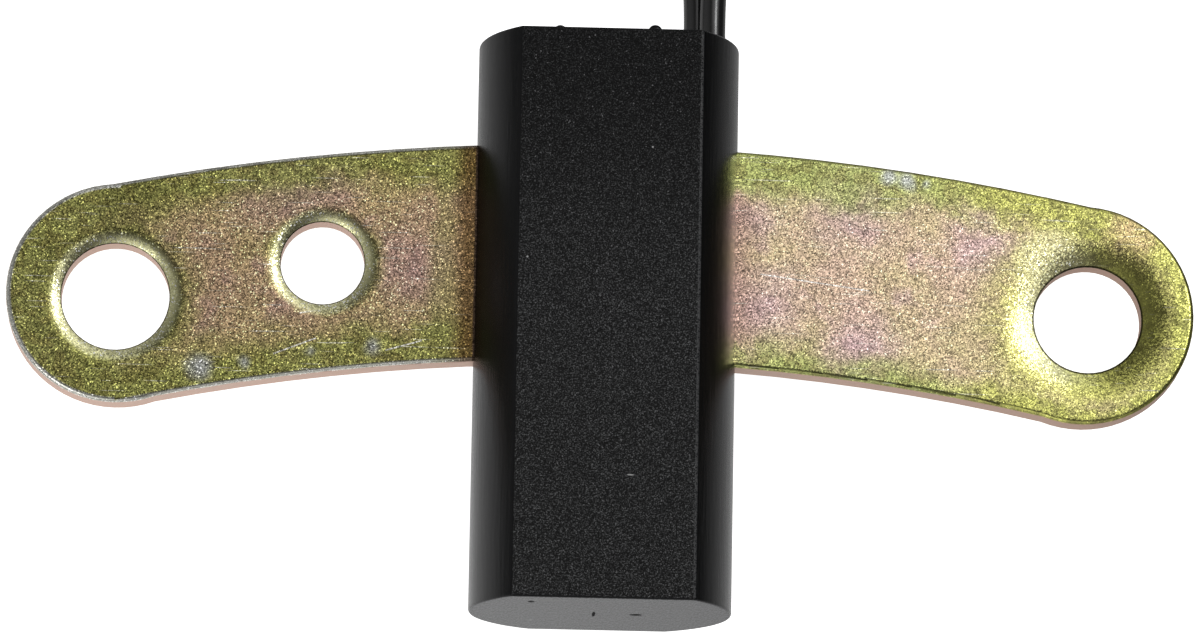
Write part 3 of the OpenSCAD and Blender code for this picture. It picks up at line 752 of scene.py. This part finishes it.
# Connector
# A two-way plug of black plastic: a thick rear part that takes the wire seals, a slimmer nose with a
# window for each contact, and a springy latch arm on top.
rear_x, step_x, nose_x, plug_y = -0.028, -0.037, -0.05, 0.0645
half_rear, rear_height, rear_corner, nose_inset = 0.0068, 0.0096, 0.0012, 0.0008
plug = add_bar((step_x, plug_y - half_rear, 0), (rear_x, plug_y + half_rear, rear_height))
pick_edges(plug, lambda a, b: abs(a.x - b.x) > (rear_x - step_x) / 2)
bpy.ops.mesh.bevel(offset=rear_corner, segments=5, affect="EDGES")
pick_faces(plug, lambda normal: normal.x < -0.9)
bpy.ops.mesh.inset(thickness=nose_inset)
bpy.ops.mesh.extrude_region_move(TRANSFORM_OT_translate={"value": (nose_x - step_x, 0, 0)})
break_edges(plug, 0.00018)

arm_top, hook_x, hook_top = 0.011, -0.0455, 0.012
latch_low, latch_high, latch_edge = plug_y - 0.0025, plug_y + 0.0025, 0.00012
arm = add_bar((nose_x, latch_low, 0.01), (-0.0382, latch_high, arm_top))
pick_edges(arm, lambda a, b: max(a.x, b.x) < nose_x + 0.001 and min(a.z, b.z) > arm_top - 0.0001)
bpy.ops.mesh.bevel(offset=0.0008, segments=1, affect="EDGES")
break_edges(arm, latch_edge)
root = add_bar((nose_x, latch_low, 0.008), (-0.0475, latch_high, 0.0102))
break_edges(root, latch_edge)
hook = add_bar((hook_x, latch_low, 0.0108), (-0.0435, latch_high, hook_top))
pick(hook, lambda p: p.x < hook_x + 0.0005 and p.z > hook_top - 0.0001)
bpy.ops.transform.translate(value=(0.001, 0, 0))
break_edges(hook, 0.0001)

half_rib, rib_stands_out, rib_low, rib_high = 0.0004, 0.0003, 0.0022, 0.0074
ribs = []
for rib_y in (plug_y - half_rear, plug_y + half_rear):
    for rib_x in (-0.0302, -0.0318, -0.0334, -0.035):
        rib = add_bar(
            (rib_x - half_rib, rib_y - rib_stands_out, rib_low),
            (rib_x + half_rib, rib_y + rib_stands_out, rib_high),
        )
        break_edges(rib, 0.00012)
        ribs.append(rib)

way_z, bore_radius, half_cavity, half_window = 0.0048, 0.0021, 0.00132, 0.001
for way_y in (0.062, 0.067):
    bpy.ops.object.select_all(action="DESELECT")
    bpy.ops.mesh.primitive_cylinder_add(
        vertices=64, radius=bore_radius, depth=0.006,
        location=(-0.029, way_y, way_z), rotation=(0, math.pi / 2, 0),
    )
    seal_bore = bpy.context.object
    cavity = add_bar(
        (-0.0488, way_y - half_cavity, way_z - half_cavity),
        (-0.0319, way_y + half_cavity, way_z + half_cavity),
    )
    window = add_bar(
        (-0.051, way_y - half_window, way_z - half_window),
        (-0.0487, way_y + half_window, way_z + half_window),
    )
    for cutter in (seal_bore, cavity, window):
        cut = plug.modifiers.new("way", "BOOLEAN")
        cut.operation = "DIFFERENCE"
        cut.solver = "EXACT"
        cut.object = cutter
        apply_all(plug)
        bpy.data.objects.remove(cutter)
join_into(plug, (arm, root, hook, *ribs))
settle(plug, "connector_plug")
bpy.ops.object.shade_smooth_by_angle(angle=math.radians(35))
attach(plug, "root")
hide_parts("connector_body")

plug_finish, tree, shader, where = new_finish("connector_plastic", (0.02, 0.02, 0.022), 0.45)
skin = noise(tree, where, 6000, 2)
sweep = noise(tree, where, 250, 3)
wire(
    tree, shader,
    Base_Color=tint(tree, sweep, (0.014, 0.014, 0.0155), (0.026, 0.026, 0.028)),
    Roughness=maths(tree, "MULTIPLY_ADD", sweep, 0.2, 0.35),
    Normal=bumped(tree, skin, 0.00002),
)
plug.data.materials.append(plug_finish)

# Wire seals and contacts
# Ribbed rings of red-brown silicone close the rear of the connector round each lead, and tinned bronze
# contacts are crimped to the ends of the leads and clipped into the nose.
silicone_finish, tree, shader, where = new_finish("seal_rubber", (0.33, 0.06, 0.035), 0.6)
bloom = noise(tree, where, 1800, 4, 0.6)
wire(
    tree, shader,
    Base_Color=tint(tree, bloom, (0.26, 0.045, 0.026), (0.4, 0.09, 0.05)),
    Normal=bumped(tree, bloom, 0.00002),
)
tin_finish, tree, shader, where = new_finish("tinned_contact", (0.7, 0.7, 0.68), 0.28, 1.0)
drag = noise(tree, drawn_out(tree, where, (0.06, 1, 1)), 5000, 3)
wire(
    tree, shader,
    Base_Color=tint(tree, drag, (0.6, 0.6, 0.58), (0.8, 0.8, 0.78)),
    Roughness=maths(tree, "MULTIPLY_ADD", drag, 0.2, 0.18),
)
for lead in ("signal", "return"):
    dress(lead + "_seal", silicone_finish)
    dress(lead + "_contact", tin_finish)

# Floor and light
# A pale bench under soft studio light: a wide lamp at the upper right and a weaker one at the lower left.
# The room has a glow overhead to the right, a pale wall on the left and a low glow in front, and is
# brighter in front and behind than at the sides.
floor_z = -0.00005
bpy.ops.mesh.primitive_plane_add(size=6, location=(0, 0, floor_z))
floor = bpy.context.object
floor.name = "bench_floor"
floor_finish, tree, shader, where = new_finish("pale_bench", (0.9, 0.9, 0.9), 0.9)
shader.inputs["Specular IOR Level"].default_value = 0.0
shader.inputs["Emission Color"].default_value = (1, 1, 1, 1)
ray = put(tree, "LightPath")
mirrored = maths(tree, "MAXIMUM", ray.outputs["Is Glossy Ray"], ray.outputs["Is Transmission Ray"])
spread = put(tree, "VectorMath", {"operation": "DISTANCE"}, i0=where, i1=(-0.04, -0.05, 0))
spread = soft_step(tree, spread.outputs["Value"], 0.02, 0.15)
lit = maths(tree, "MULTIPLY", mirrored, maths(tree, "MULTIPLY_ADD", spread, -1.02, 1.08))
wire(
    tree, shader,
    Base_Color=maths(tree, "MULTIPLY_ADD", mirrored, -0.9, 0.9),
    Emission_Strength=maths(tree, "MAXIMUM", ray.outputs["Is Camera Ray"], lit),
)
floor.data.materials.append(floor_finish)


def soft_lamp(name, place_at, size, power):
    """A wide round lamp that looks at the middle of the object."""
    lamp = bpy.data.lights.new(name, "AREA")
    lamp.shape = "DISK"
    lamp.size = size
    lamp.energy = power
    holder = bpy.data.objects.new(name, lamp)
    holder.location = place_at
    look = Vector((0, 0, 0.01)) - Vector(place_at)
    holder.rotation_euler = look.to_track_quat("-Z", "Y").to_euler()
    bpy.context.collection.objects.link(holder)


soft_lamp("key_lamp", (0.55, 0.36, 1.0), 0.3, 2.0)
soft_lamp("fill_lamp", (-0.64, -0.64, 0.75), 0.25, 1.3)
world = bpy.data.worlds.new("studio")
bpy.context.scene.world = world
world.use_nodes = True
tree = world.node_tree
sky = tree.nodes["Background"]
sky.inputs["Color"].default_value = (1, 1, 1, 1)
outwards = put(tree, "TexCoord").outputs["Generated"]


def glow_towards(direction, start):
    """1 in one direction of the room, and 0 where the cosine to it is less than start."""
    near = put(tree, "VectorMath", {"operation": "DOT_PRODUCT"}, i0=outwards, i1=direction)
    return soft_step(tree, near.outputs["Value"], start, 1.0)


front_and_back = maths(tree, "ABSOLUTE", put(tree, "SeparateXYZ", Vector=outwards).outputs["Y"])
overhead = glow_towards((0.365, 0.35, 0.863), 0.74)
pale_wall = glow_towards((-0.9, -0.1, 0.424), 0.5)
low_front = glow_towards((-0.35, -0.7, 0.62), 0.78)
dome = maths(tree, "MULTIPLY_ADD", soft_step(tree, front_and_back, 0.45, 0.95), 0.45, 0.08)
dome = maths(tree, "MULTIPLY_ADD", pale_wall, 0.38, dome)
dome = maths(tree, "MULTIPLY_ADD", low_front, 0.7, dome)
dome = maths(tree, "MULTIPLY_ADD", maths(tree, "MULTIPLY", overhead, overhead), 1.3, dome)
wire(tree, sky, Strength=dome)
bpy.context.scene.view_settings.view_transform = "Standard"

bpy.context.view_layer.update()
